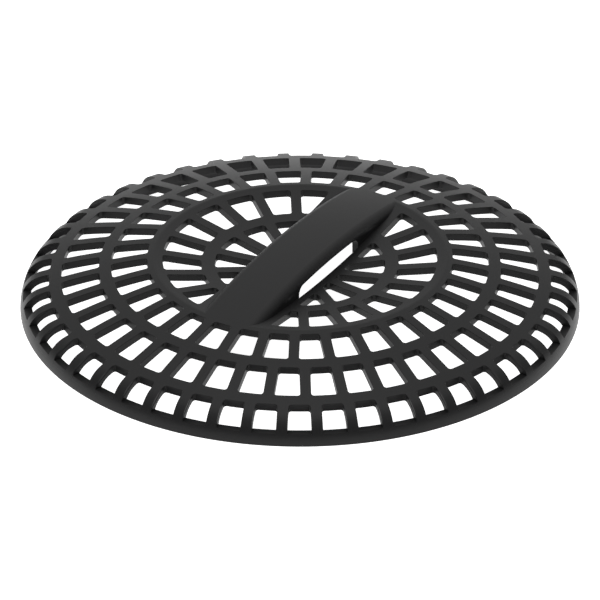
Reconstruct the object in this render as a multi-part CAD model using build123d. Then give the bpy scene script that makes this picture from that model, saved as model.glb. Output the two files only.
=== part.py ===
from build123d import *
import os

# Shower drain hair catcher: a low slotted dome with a dished middle and a handle bridging the dish.
# It is one plastic moulding of even wall. Millimetres, +Z up, handle along X.
# The origin is the middle of the flat foot that the rim stands on.

# Dome
outer_diameter = 127.0
cap_radius = 185.0
shoulder_radius = 6.8
rim_land = 0.2
wall = 1.7

# Dish
crest_diameter = 66.6
crest_rounding = 3.0
dish_radius = 234.0

# Handle
handle_width = 15.0
handle_edge_radius = 2.1
strap_thickness = 2.0
leg_wall = 1.5
finger_gap_length = 26.6
finger_gap_corner = 2.0

# Slots: every row is cut straight down, and parallel ribs are left between its slots
smallest_slot_area = 5.0
rim_band = 0.9
foot_height = 1.5
cap_ring_width = 2.75
crest_outer_land = 1.3
crest_inner_land = 2.1
dish_ring_width = 3.1
frame_width = 1.85

# Rows on the dome, from the rim inwards
cap_slot_counts = [48, 40, 32]
cap_slot_lengths = [5.6, 8.6, 8.2]
cap_rib_widths = [2.6, 2.5, 2.4]

# Rows in the dish, from the crest inwards, with the angle from one slot to the next in degrees
dish_slot_pitches = [16.6, 25.8]
dish_slot_lengths = [8.8, 9.8]
dish_rib_widths = [2.35, 2.4]

# Heights and centres that follow from the sizes above
outer_radius = outer_diameter / 2
crest_radius = crest_diameter / 2
shoulder_reach = outer_radius - shoulder_radius
shoulder_drop = ((cap_radius - shoulder_radius) ** 2 - shoulder_reach ** 2) ** 0.5
cap_centre = rim_land - shoulder_drop
apex_height = cap_centre + cap_radius
crest_height = cap_centre + (cap_radius ** 2 - crest_radius ** 2) ** 0.5
dish_centre = crest_height + (dish_radius ** 2 - crest_radius ** 2) ** 0.5
clear_height = 2 * apex_height


def ball(radius, centre_height):
    return Pos(0, 0, centre_height) * Sphere(radius)


def half_section(inset):
    """Half of the dome's section, with its outline moved in by inset."""
    reach = outer_radius - inset
    low = (Align.MIN, Align.MIN)
    section = Rectangle(reach, clear_height, align=low)
    section &= Pos(0, cap_centre) * Circle(cap_radius - inset)
    shoulder = section.vertices().filter_by(lambda v: v.X > reach - 0.01).sort_by(Axis.Y)[-1]
    section = fillet(shoulder, shoulder_radius - inset)
    section -= Pos(0, dish_centre) * Circle(dish_radius + inset)
    crest = section.vertices().sort_by(Axis.Y)[-1]
    return fillet(crest, crest_rounding - inset)


def dome_and_dish():
    section = half_section(0) - half_section(wall)
    return revolve(Plane.XZ * section, Axis.Z)


def handle_bar():
    """Bar whose top carries the dome's curve across the dish, down to the dish's underside."""
    length = crest_diameter + 2 * crest_rounding
    foot = (Align.CENTER, Align.CENTER, Align.MIN)
    bar = Box(length, handle_width, clear_height, align=foot) & ball(cap_radius, cap_centre)
    top = bar.faces().sort_by(Axis.Z)[-1]
    long_edges = [top.edges().sort_by(Axis.Y)[0], top.edges().sort_by(Axis.Y)[-1]]
    bar = fillet(long_edges, handle_edge_radius)
    return bar & ball(dish_radius + wall, dish_centre)


def handle_hollow():
    """Room between the two walls of the handle's legs, open from below."""
    foot = (Align.CENTER, Align.CENTER, Align.MIN)
    width = handle_width - 2 * leg_wall
    room = Box(crest_diameter, width, clear_height, align=foot)
    return room & ball(cap_radius - strap_thickness, cap_centre)


def finger_gap():
    """Gap right across the handle and through the dish below it, with rounded top corners."""
    low = (Align.CENTER, Align.MIN)
    side = Rectangle(finger_gap_length, clear_height, align=low)
    side &= Pos(0, cap_centre) * Circle(cap_radius - strap_thickness)
    ends = side.vertices().sort_by(Axis.Y)[-2:]
    side = fillet(ends, finger_gap_corner)
    return extrude(Plane.XZ * side, handle_width / 2, both=True)


def slot_row(inner_radius, row_outer_radius, rib_width, rib_angles):
    """Outlines of one row: a ring parted by ribs with parallel sides."""
    ring = Circle(row_outer_radius) - Circle(inner_radius)
    rib = Rectangle(row_outer_radius * 1.1, rib_width, align=(Align.MIN, Align.CENTER))
    return ring - [Rot(0, 0, angle) * rib for angle in rib_angles]


def cap_slots():
    """Rows from the rim inwards, each with a slot on the handle's line, as far as the crest."""
    outlines = []
    row_outer = outer_radius - rim_band
    for count, length, rib_width in zip(cap_slot_counts, cap_slot_lengths, cap_rib_widths):
        row_inner = row_outer - length
        rib_angles = [(i + 0.5) * 360 / count for i in range(count)]
        if row_inner > crest_radius + crest_outer_land:
            outlines += slot_row(row_inner, row_outer, rib_width, rib_angles).faces()
        row_outer = row_inner - cap_ring_width
    return outlines


def dish_slots():
    """Rows from the crest inwards, spread to both sides of the line across the handle.

    A solid strip along each side of the handle cuts them off.
    """
    outlines = []
    row_outer = crest_radius - crest_inner_land
    strip = Rectangle(crest_diameter, handle_width + 2 * frame_width)
    for pitch, length, rib_width in zip(dish_slot_pitches, dish_slot_lengths, dish_rib_widths):
        row_inner = row_outer - length
        steps = range(-int(90 / pitch + 0.5), int(90 / pitch + 0.5))
        rib_angles = [side + (i + 0.5) * pitch for side in (90, 270) for i in steps]
        outlines += (slot_row(row_inner, row_outer, rib_width, rib_angles) - strip).faces()
        row_outer = row_inner - dish_ring_width
    return outlines


def hair_catcher():
    body = dome_and_dish() + handle_bar() - handle_hollow() - finger_gap()
    outlines = [o for o in cap_slots() + dish_slots() if o.area > smallest_slot_area]
    prisms = [extrude(Pos(0, 0, foot_height) * o, clear_height) for o in outlines]
    return body - prisms


os.makedirs("parts", exist_ok=True)
export_step(hair_catcher(), "parts/hair_catcher.step")
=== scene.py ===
import math

import bmesh
import bpy
import numpy as np
from mathutils import Matrix, Vector


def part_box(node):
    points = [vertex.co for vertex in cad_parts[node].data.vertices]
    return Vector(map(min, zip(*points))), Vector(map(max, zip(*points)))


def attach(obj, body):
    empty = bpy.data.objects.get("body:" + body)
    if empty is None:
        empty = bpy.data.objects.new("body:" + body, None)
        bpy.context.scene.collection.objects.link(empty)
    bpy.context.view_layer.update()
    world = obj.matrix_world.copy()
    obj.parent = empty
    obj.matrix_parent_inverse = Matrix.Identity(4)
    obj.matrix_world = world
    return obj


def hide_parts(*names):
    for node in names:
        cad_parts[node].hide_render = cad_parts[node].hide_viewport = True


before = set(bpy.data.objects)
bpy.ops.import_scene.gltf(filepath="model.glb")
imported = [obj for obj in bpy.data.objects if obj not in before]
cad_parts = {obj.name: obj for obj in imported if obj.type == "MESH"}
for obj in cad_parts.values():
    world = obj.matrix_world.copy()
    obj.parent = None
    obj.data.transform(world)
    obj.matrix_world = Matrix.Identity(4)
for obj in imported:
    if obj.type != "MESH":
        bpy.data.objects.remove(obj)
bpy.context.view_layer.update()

# Camera.
# The part is seen from above at 30 degrees, with the handle running away to the right. The view is so
# long that it has no perspective left, so the camera is orthographic.

MM = 0.001
IMAGE_SIDE_PX = 600
CAMERA_DISTANCE = 0.6
CAMERA_AZIMUTH = math.radians(-59.9)
CAMERA_ELEVATION = math.radians(29.8)
RADIUS_PX = 279.7
FOOT_CENTRE_PX = (300.0, 307.8)

node = "hair_catcher"
low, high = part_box(node)
outer_radius = (high.x - low.x) / 2
metres_per_px = outer_radius / RADIUS_PX

toward_camera = Vector((
    math.sin(CAMERA_AZIMUTH) * math.cos(CAMERA_ELEVATION),
    -math.cos(CAMERA_AZIMUTH) * math.cos(CAMERA_ELEVATION),
    math.sin(CAMERA_ELEVATION),
))
camera_turn = toward_camera.to_track_quat("Z", "Y")
right = camera_turn @ Vector((1, 0, 0))
up = camera_turn @ Vector((0, 1, 0))
half_px = IMAGE_SIDE_PX / 2
aim = (right * (half_px - FOOT_CENTRE_PX[0]) + up * (FOOT_CENTRE_PX[1] - half_px)) * metres_per_px

camera_data = bpy.data.cameras.new("camera")
camera_data.type = "ORTHO"
camera_data.ortho_scale = IMAGE_SIDE_PX * metres_per_px
camera_data.clip_start = 0.01
camera = bpy.data.objects.new("camera", camera_data)
camera.location = aim + toward_camera * CAMERA_DISTANCE
camera.rotation_mode = "QUATERNION"
camera.rotation_quaternion = camera_turn
bpy.context.scene.collection.objects.link(camera)
bpy.context.scene.camera = camera

# Dome and dish.
# The real part is one injection moulding in near-black plastic with a single even wall: a low spherical
# dome rolled over into an upright rim, with a shallow dish pressed into its middle.

cap_radius = 185 * MM
shoulder_radius = 6.8 * MM
wall = 1.7 * MM
crest_radius = 33.3 * MM
crest_rounding = 3 * MM
dish_radius = 234 * MM

cap_centre = high.z - cap_radius


def cap_height(r, inset=0.0):
    return cap_centre + math.sqrt((cap_radius - inset) ** 2 - r ** 2)


dish_centre = cap_height(crest_radius) + math.sqrt(dish_radius ** 2 - crest_radius ** 2)
# The crest's rounding touches the dome from inside and the dish from outside
centres_apart = dish_centre - cap_centre
crest_reach = (cap_radius - crest_rounding) ** 2
crest_rise = (crest_reach - (dish_radius + crest_rounding) ** 2 + centres_apart ** 2) / (2 * centres_apart)
crest_centre = (math.sqrt(crest_reach - crest_rise ** 2), cap_centre + crest_rise)
shoulder_reach = outer_radius - shoulder_radius
shoulder_centre = (
    shoulder_reach,
    cap_centre + math.sqrt((cap_radius - shoulder_radius) ** 2 - shoulder_reach ** 2),
)


def dish_height(r, inset=0.0):
    return dish_centre - math.sqrt((dish_radius + inset) ** 2 - r ** 2)


def arc(centre, radius, start, end, step):
    """Points (r, z) along an arc, angles from the r axis."""
    count = max(2, math.ceil(abs(end - start) * radius / step))
    angles = [start + (end - start) * i / count for i in range(count + 1)]
    return [(centre[0] + radius * math.cos(a), centre[1] + radius * math.sin(a)) for a in angles]


def skin_profile(inset, step):
    """One face of the wall from the middle outwards: dish, crest, dome, shoulder and rim."""
    dish_end = math.atan2(crest_centre[1] - dish_centre, crest_centre[0])
    cap_start = math.atan2(crest_centre[1] - cap_centre, crest_centre[0])
    cap_end = math.atan2(shoulder_centre[1] - cap_centre, shoulder_centre[0])
    return (
        arc((0, dish_centre), dish_radius + inset, -math.pi / 2, dish_end, step)
        + arc(crest_centre, crest_rounding - inset, dish_end + math.pi, cap_start, step / 4)[1:]
        + arc((0, cap_centre), cap_radius - inset, cap_start, cap_end, step)[1:]
        + arc(shoulder_centre, shoulder_radius - inset, cap_end, 0, step / 2)[1:]
        + [(outer_radius - inset, 0)]
    )


AXIS_TOLERANCE = 1e-6


def turned(profile, turns):
    """A closed body turned round the upright axis from (r, z) points that start and end on it."""
    mesh = bmesh.new()
    rings = []
    for r, z in profile:
        if r < AXIS_TOLERANCE:
            rings.append([mesh.verts.new((0, 0, z))])
        else:
            angles = [2 * math.pi * i / turns for i in range(turns)]
            rings.append([mesh.verts.new((r * math.cos(a), r * math.sin(a), z)) for a in angles])
    for inner, outer in zip(rings, rings[1:]):
        for i in range(turns):
            j = (i + 1) % turns
            corners = [ring[k % len(ring)] for ring, k in ((inner, i), (outer, i), (outer, j), (inner, j))]
            mesh.faces.new(list(dict.fromkeys(corners)))
    return mesh


def as_object(mesh, name):
    bmesh.ops.recalc_face_normals(mesh, faces=mesh.faces)
    data = bpy.data.meshes.new(name)
    mesh.to_mesh(data)
    mesh.free()
    body = bpy.data.objects.new(name, data)
    bpy.context.scene.collection.objects.link(body)
    return body


def combine(body, other, operation):
    """body with another solid added to it, cut from it or kept inside it."""
    step = body.modifiers.new(operation, "BOOLEAN")
    step.object, step.operation, step.solver = other, operation, "MANIFOLD"
    evaluated = body.evaluated_get(bpy.context.evaluated_depsgraph_get())
    data = bpy.data.meshes.new_from_object(evaluated)
    body.modifiers.clear()
    body.data = data
    bpy.data.objects.remove(other)
    return body


TURNS = 480
profile_step = 1.2 * MM
outer_skin = skin_profile(0, profile_step)
inner_skin = skin_profile(wall, profile_step)
catcher = as_object(turned(outer_skin + inner_skin[::-1], TURNS), "hair_catcher_moulding")

# Handle.
# A strap carries the dome's curve across the dish, with rounded long edges. It stands on two legs that
# are hollow from below, and between them a gap runs right through the dish. It is moulded with the dome.

handle_half = 7.5 * MM
handle_edge_radius = 2.1 * MM
strap_thickness = 2 * MM
leg_wall = 1.5 * MM
gap_half = 13.3 * MM
gap_corner = 2 * MM
gap_clearance = 0.02 * MM
STATIONS = 96
FLAT_STRIPS = 6
edge_step = 0.25 * MM
ceiling_step = 0.7 * MM
corner_step = 0.3 * MM


def bar():
    """Body under the strap's rounded top, reaching into the wall of the dish and of the crest."""
    edge_y = handle_half - handle_edge_radius
    edge_centre = (edge_y, math.sqrt((cap_radius - handle_edge_radius) ** 2 - edge_y ** 2))
    edge = arc(edge_centre, handle_edge_radius, math.atan2(edge_centre[1], edge_centre[0]), 0, edge_step)
    middle = [edge[0][0] * i / FLAT_STRIPS for i in range(FLAT_STRIPS)]
    half = [(y, math.sqrt(cap_radius ** 2 - y ** 2)) for y in middle] + edge
    across = [(-y, h) for y, h in half[:0:-1]] + half
    # The strap ends where the crest's rounding runs out into the dome
    end_radius = crest_centre[0] * cap_radius / (cap_radius - crest_rounding)
    mesh = bmesh.new()
    top, bottom = [], []
    for i in range(STATIONS + 1):
        top.append([])
        bottom.append([])
        for y, h in across:
            x = math.sqrt(end_radius ** 2 - y ** 2) * (2 * i / STATIONS - 1)
            top[-1].append(mesh.verts.new((x, y, cap_centre + math.sqrt(h ** 2 - x ** 2))))
            bottom[-1].append(mesh.verts.new((x, y, dish_height(math.hypot(x, y), wall / 2))))
    for grid, lift in ((top, 1), (bottom, -1)):
        for near, far in zip(grid, grid[1:]):
            for j in range(len(across) - 1):
                mesh.faces.new((near[j], far[j], far[j + 1], near[j + 1])[::lift])
    for i in range(STATIONS):
        for j in (0, -1):
            mesh.faces.new((top[i][j], top[i + 1][j], bottom[i + 1][j], bottom[i][j]))
    for j in range(len(across) - 1):
        for i in (0, -1):
            mesh.faces.new((top[i][j], top[i][j + 1], bottom[i][j + 1], bottom[i][j]))
    return mesh


def side_cut(outline, half_width):
    """Straight cut across the handle, from a closed outline in x and z."""
    mesh = bmesh.new()
    ends = [[mesh.verts.new((x, y, z)) for x, z in outline] for y in (-half_width, half_width)]
    mesh.faces.new(ends[0])
    mesh.faces.new(ends[1][::-1])
    for i in range(len(outline)):
        mesh.faces.new((ends[0][i - 1], ends[1][i - 1], ends[1][i], ends[0][i]))
    return mesh


def under_strap(half_length, corner):
    """Side outline of the room below the strap, open below, with its top corners rounded."""
    ceiling = cap_radius - strap_thickness
    below = low.z - 2 * MM
    if corner == 0:
        reach = math.asin(half_length / ceiling)
        top = arc((0, cap_centre), ceiling, math.pi / 2 + reach, math.pi / 2 - reach, ceiling_step)
        return [(-half_length, below)] + top + [(half_length, below)]
    corner_x = half_length - corner
    corner_z = cap_centre + math.sqrt((ceiling - corner) ** 2 - corner_x ** 2)
    lean = math.atan2(corner_z - cap_centre, corner_x)
    top = arc((0, cap_centre), ceiling, math.pi - lean, lean, ceiling_step)
    left = arc((-corner_x, corner_z), corner, math.pi, math.pi - lean, corner_step)
    near = arc((corner_x, corner_z), corner, lean, 0, corner_step)
    return [(-half_length, below)] + left + top[1:-1] + near + [(half_length, below)]


catcher = combine(catcher, as_object(bar(), "bar"), "UNION")
hollow = side_cut(under_strap(crest_radius, 0), handle_half - leg_wall)
catcher = combine(catcher, as_object(hollow, "hollow"), "DIFFERENCE")
gap = side_cut(under_strap(gap_half, gap_corner), handle_half + gap_clearance)
catcher = combine(catcher, as_object(gap, "gap"), "DIFFERENCE")

# Slots.
# Pins in the mould leave the slots as straight holes through the wall, in rows, with a rib of even width
# between two slots. Their top edges are softened. The slots next to the rim run out through the
# shoulder and end below on a level ledge.

slot_corner = 0.65 * MM
edge_softening = 0.08 * MM
smallest_slot_area = 5e-6
rim_band = 0.25 * MM
foot_height = 2.9 * MM
cap_ring_width = 2.75 * MM
crest_inner_land = 2.1 * MM
dish_ring_width = 3.1 * MM
frame_width = 1.85 * MM
# Each row from the rim or the crest inwards: count or pitch, length and rib width
cap_rows = [(48, 6.25 * MM, 2.6 * MM), (40, 8.6 * MM, 2.5 * MM), (32, 8.2 * MM, 2.4 * MM)]
dish_rows = [(math.radians(16.6), 8.8 * MM, 2.35 * MM), (math.radians(25.8), 9.8 * MM, 2.4 * MM)]
SLOT_ARC_STEP = 0.9 * MM
SLOT_CORNER_STEP = math.radians(18)
SOFTENING_TILTS = (90, 67.5, 45, 22.5, 0)


def skin_height(r):
    """Height of the outer skin at a radius."""
    profile_r, profile_z = zip(*outer_skin)
    return float(np.interp(r, profile_r, profile_z))


def slot_core(pitch, middle, inner, outer, rib):
    """Slot outline drawn in by the corner radius, as a list of points anticlockwise."""
    first = middle - pitch / 2
    side = rib / 2 + slot_corner
    outer, inner = outer - slot_corner, inner + slot_corner
    ends = []
    for r in (outer, inner):
        turn = math.asin(side / r)
        count_on_arc = max(2, round(r * pitch / SLOT_ARC_STEP))
        angles = np.linspace(first + turn, first + pitch - turn, count_on_arc)
        ends.append([(r * math.cos(a), r * math.sin(a)) for a in angles])
    return ends[0] + ends[1][::-1]


def clipped(outline, limit):
    """The part of an outline beyond a line beside the handle, on the outline's own side of it."""
    side = 1 if sum(y for x, y in outline) > 0 else -1
    kept = []
    for (x0, y0), (x1, y1) in zip(outline[-1:] + outline, outline):
        inside = y0 * side > limit, y1 * side > limit
        if inside[0] != inside[1]:
            share = (limit * side - y0) / (y1 - y0)
            kept.append((x0 + (x1 - x0) * share, limit * side))
        if inside[1]:
            kept.append((x1, y1))
    return kept


def swollen(core, reach):
    """The outline moved out by reach, with an arc at each corner."""
    points = []
    for before, here, after in zip(core[-1:] + core, core, core[1:] + core[:1]):
        coming = math.atan2(here[1] - before[1], here[0] - before[0])
        going = math.atan2(after[1] - here[1], after[0] - here[0])
        turn = (going - coming + math.pi) % (2 * math.pi) - math.pi
        steps = max(1, round(turn / SLOT_CORNER_STEP))
        for i in range(steps + 1) if steps > 1 else [0.5]:
            out = coming + turn * i / steps - math.pi / 2
            points.append((here[0] + reach * math.cos(out), here[1] + reach * math.sin(out)))
    return points


def area(outline):
    pairs = zip(outline[-1:] + outline, outline)
    return sum(x0 * y1 - x1 * y0 for (x0, y0), (x1, y1) in pairs) / 2


def pin(mesh, core):
    """One slot's cutter: straight up through the wall, flared where it leaves the outer skin."""
    loops = [[(x, y, low.z + foot_height) for x, y in swollen(core, slot_corner)]]
    for tilt in SOFTENING_TILTS:
        out = edge_softening * (1 - math.sin(math.radians(tilt)))
        drop = edge_softening * (1 - math.cos(math.radians(tilt)))
        outline = swollen(core, slot_corner + out)
        loops.append([(x, y, skin_height(math.hypot(x, y)) - drop) for x, y in outline])
    loops.append([(x, y, high.z + MM) for x, y, z in loops[-1]])
    rings = [[mesh.verts.new(p) for p in loop] for loop in loops]
    mesh.faces.new(rings[0][::-1])
    mesh.faces.new(rings[-1])
    for lower, upper in zip(rings, rings[1:]):
        for i in range(len(lower)):
            mesh.faces.new((lower[i - 1], lower[i], upper[i], upper[i - 1]))


pins = bmesh.new()
row_outer = outer_radius - rim_band
for count, length, rib in cap_rows:
    pitch = 2 * math.pi / count
    for index in range(count):
        pin(pins, slot_core(pitch, index * pitch, row_outer - length, row_outer, rib))
    row_outer -= length + cap_ring_width
row_outer = crest_radius - crest_inner_land
for pitch, length, rib in dish_rows:
    reach = round(math.pi / 2 / pitch)
    for side in (1, -1):
        for step in range(-reach, reach + 1):
            core = slot_core(pitch, side * math.pi / 2 + step * pitch, row_outer - length, row_outer, rib)
            if sum(y for x, y in core) * side < 0:
                continue
            core = clipped(core, handle_half + frame_width + slot_corner)
            if core and area(swollen(core, slot_corner)) > smallest_slot_area:
                pin(pins, core)
    row_outer -= length + dish_ring_width
catcher = combine(catcher, as_object(pins, "pins"), "DIFFERENCE")


# Surface.
# Straight from a polished mould the skins are true spheres and rings, so each face that lies on one
# takes its exact normal, and only the softened edges are blended from face to face.

SKIN_TOLERANCE = 0.012 * MM
SKIN_FACING = math.cos(math.radians(14))
BLEND_FACING = math.cos(math.radians(38))
UPRIGHT_SLOPE = 0.02
TINY = 1e-12


def around_upright(ring_radius, centre_z):
    """Direction and distance from the circle about the upright axis to each point."""
    def away(p):
        r = np.maximum(np.hypot(p[:, 0], p[:, 1]), TINY)
        flat = np.stack([p[:, 0] / r, p[:, 1] / r, np.zeros(len(p))], 1)
        return flat * (r - ring_radius)[:, None] + np.array([0, 0, 1]) * (p[:, 2] - centre_z)[:, None]
    return away


def around_strap_edge(side):
    """The same for the circle that the strap's rounded edge follows."""
    edge_y = (handle_half - handle_edge_radius) * side
    ring_radius = math.sqrt((cap_radius - handle_edge_radius) ** 2 - edge_y ** 2)
    def away(p):
        x, z = p[:, 0], p[:, 2] - cap_centre
        r = np.hypot(x, z)
        scale = (r - ring_radius) / r
        return np.stack([x * scale, p[:, 1] - edge_y, z * scale], 1)
    return away


skins = []
for inset in (0, wall):
    skins.append((around_upright(0, cap_centre), cap_radius - inset))
    skins.append((around_upright(0, dish_centre), dish_radius + inset))
    skins.append((around_upright(*crest_centre), crest_rounding - inset))
    skins.append((around_upright(*shoulder_centre), shoulder_radius - inset))
skins.append((around_upright(0, cap_centre), cap_radius - strap_thickness))
skins += [(around_strap_edge(side), handle_edge_radius) for side in (-1, 1)]


def true_normals(mesh):
    """Corner normals: exact on the skins, blended over softened edges, flat on the rest."""
    corner_count = len(mesh.loops)
    corner_vertex = np.empty(corner_count, int)
    mesh.loops.foreach_get("vertex_index", corner_vertex)
    places = np.empty(len(mesh.vertices) * 3)
    mesh.vertices.foreach_get("co", places)
    places = places.reshape(-1, 3)[corner_vertex]
    sizes = np.empty(len(mesh.polygons), int)
    mesh.polygons.foreach_get("loop_total", sizes)
    face = np.repeat(np.arange(len(sizes)), sizes)
    face_normal = np.empty(len(sizes) * 3)
    mesh.polygons.foreach_get("normal", face_normal)
    face_area = np.empty(len(sizes))
    mesh.polygons.foreach_get("area", face_area)
    flat = face_normal.reshape(-1, 3)[face]
    weight = face_area[face]

    normals = flat.copy()
    best = np.full(corner_count, SKIN_FACING)
    on_skin = np.zeros(corner_count, bool)
    for away, radius in skins:
        out = away(places)
        distance = np.linalg.norm(out, axis=1)
        out /= np.maximum(distance, TINY)[:, None]
        near = np.abs(distance - radius) < SKIN_TOLERANCE
        facing = (out * flat).sum(1)
        take = near & (np.abs(facing) > best)
        best[take] = np.abs(facing)[take]
        normals[take] = out[take] * np.sign(facing[take])[:, None]
        on_skin |= take

    order = np.argsort(corner_vertex, kind="stable")
    starts = np.searchsorted(corner_vertex[order], np.arange(len(mesh.vertices) + 1))
    upright = np.abs(flat[:, 2]) < UPRIGHT_SLOPE
    for start, end in zip(starts, starts[1:]):
        here = order[start:end]
        if on_skin[here].all():
            continue
        n = flat[here]
        alike = (n @ n.T) > BLEND_FACING
        for k, corner in enumerate(here):
            if on_skin[corner]:
                continue
            joined = here[alike[k] & (upright[here] == upright[corner])]
            touching = joined[on_skin[joined]]
            if len(touching):
                normals[corner] = normals[touching[0]]
            else:
                total = (flat[joined] * weight[joined][:, None]).sum(0)
                normals[corner] = total / max(np.linalg.norm(total), TINY)
    for polygon in mesh.polygons:
        polygon.use_smooth = True
    mesh.normals_split_custom_set(normals)


true_normals(catcher.data)


# Plastic.
# Near-black moulded plastic with a fine even grain and a soft satin sheen. The grain catches a little
# light, and tone and gloss drift slightly over the part, as they do where the melt cooled unevenly.


class Value:
    """A shader socket that Python's arithmetic works on."""

    def __init__(self, tree, socket):
        self.tree, self.socket = tree, socket

    def math(self, operation, other):
        return made(self.tree, "ShaderNodeMath", {"operation": operation}, [self, other])

    def __add__(self, other):
        return self.math("ADD", other)

    def __mul__(self, other):
        return self.math("MULTIPLY", other)

    __radd__ = __add__
    __rmul__ = __mul__


def made(tree, kind, settings, values, output=0):
    """A new node with its settings, and its sockets set or linked; values is a list or a dict."""
    new = tree.nodes.new(kind)
    for name, setting in settings.items():
        setattr(new, name, setting)
    for key, value in values.items() if isinstance(values, dict) else enumerate(values):
        if isinstance(value, Value):
            tree.links.new(value.socket, new.inputs[key])
        else:
            new.inputs[key].default_value = value
    return Value(tree, new.outputs[output])


def moulded_plastic():
    material = bpy.data.materials.new("moulded_plastic")
    material.use_nodes = True
    tree = material.node_tree
    shader = tree.nodes["Principled BSDF"]
    place = made(tree, "ShaderNodeTexCoord", {}, {}, "Object")
    fine = {"Vector": place, "Scale": 5200, "Detail": 3.0, "Roughness": 0.6}
    broad = {"Vector": place, "Scale": 38, "Detail": 2.0, "Roughness": 0.5}
    grain = made(tree, "ShaderNodeTexNoise", {}, fine)
    drift = made(tree, "ShaderNodeTexNoise", {}, broad)
    tone = made(
        tree, "ShaderNodeMix", {"data_type": "RGBA"},
        {"Factor": drift, "A": (0.0085, 0.0085, 0.0087, 1), "B": (0.0110, 0.0110, 0.0113, 1)}, "Result",
    )
    tree.links.new(tone.socket, shader.inputs["Base Color"])
    gloss = 0.34 + 0.06 * drift + 0.05 * grain
    tree.links.new(gloss.socket, shader.inputs["Roughness"])
    relief = made(tree, "ShaderNodeBump", {}, {"Strength": 0.12, "Distance": 0.00002, "Height": grain})
    tree.links.new(relief.socket, shader.inputs["Normal"])
    shader.inputs["IOR"].default_value = 1.5
    shader.inputs["Specular IOR Level"].default_value = 0.17
    return material


catcher.data.materials.clear()
catcher.data.materials.append(moulded_plastic())
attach(catcher, "root")
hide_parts(node)

# Floor and light.
# A plain pale floor lit from within, as on a light table, so that the gaps between the ribs stay white.
# Soft white light comes from all round, more of it from above and from behind the part.


def pale_ground():
    material = bpy.data.materials.new("pale_ground")
    material.use_nodes = True
    tree = material.node_tree
    shader = tree.nodes["Principled BSDF"]
    place = made(tree, "ShaderNodeTexCoord", {}, {}, "Object")
    mottle = made(tree, "ShaderNodeTexNoise", {}, {"Vector": place, "Scale": 9, "Detail": 2.0})
    tone = made(
        tree, "ShaderNodeMix", {"data_type": "RGBA"},
        {"Factor": mottle, "A": (0.93, 0.93, 0.93, 1), "B": (0.95, 0.95, 0.95, 1)}, "Result",
    )
    tree.links.new(tone.socket, shader.inputs["Base Color"])
    tree.links.new(tone.socket, shader.inputs["Emission Color"])
    shader.inputs["Emission Strength"].default_value = 1.0
    shader.inputs["Roughness"].default_value = 0.9
    shader.inputs["Specular IOR Level"].default_value = 0.1
    return material


FLOOR_HALF = 3.0
FLOOR_CELLS = 8
floor_gap = 0.05 * MM
floor_mesh = bmesh.new()
bmesh.ops.create_grid(floor_mesh, x_segments=FLOOR_CELLS, y_segments=FLOOR_CELLS, size=FLOOR_HALF)
floor = as_object(floor_mesh, "floor")
floor.location.z = low.z - floor_gap
floor.data.materials.append(pale_ground())

world = bpy.data.worlds.new("light_tent")
world.use_nodes = True
sky = world.node_tree.nodes["Background"]
sky.inputs["Color"].default_value = (1, 1, 1, 1)
heading = made(world.node_tree, "ShaderNodeTexCoord", {}, {}, "Generated")
height = made(world.node_tree, "ShaderNodeSeparateXYZ", {}, [heading], "Z")
overhead = made(
    world.node_tree, "ShaderNodeMapRange", {},
    {"Value": height, "From Min": 0.3, "From Max": 0.9, "To Min": 0.0, "To Max": 0.82},
)
away = (-toward_camera.x, -toward_camera.y, 0)
behind = made(
    world.node_tree, "ShaderNodeVectorMath", {"operation": "DOT_PRODUCT"}, [heading, away], "Value",
)
background = made(
    world.node_tree, "ShaderNodeMapRange", {},
    {"Value": behind, "From Min": 0.0, "From Max": 0.87, "To Min": 0.2, "To Max": 0.66},
)
brightness = background + overhead
world.node_tree.links.new(brightness.socket, sky.inputs["Strength"])
bpy.context.scene.world = world
bpy.context.scene.view_settings.view_transform = "Standard"


def softbox(name, direction, distance, side, power):
    data = bpy.data.lights.new(name, "AREA")
    data.shape, data.size, data.size_y, data.energy = "RECTANGLE", side[0], side[1], power
    box = bpy.data.objects.new(name, data)
    box.location = Vector(direction).normalized() * distance
    box.rotation_mode = "QUATERNION"
    box.rotation_quaternion = Vector(direction).to_track_quat("Z", "Y")
    bpy.context.scene.collection.objects.link(box)


softbox("overhead", (0, 0, 1), 0.7, (0.5, 0.5), 1.0)
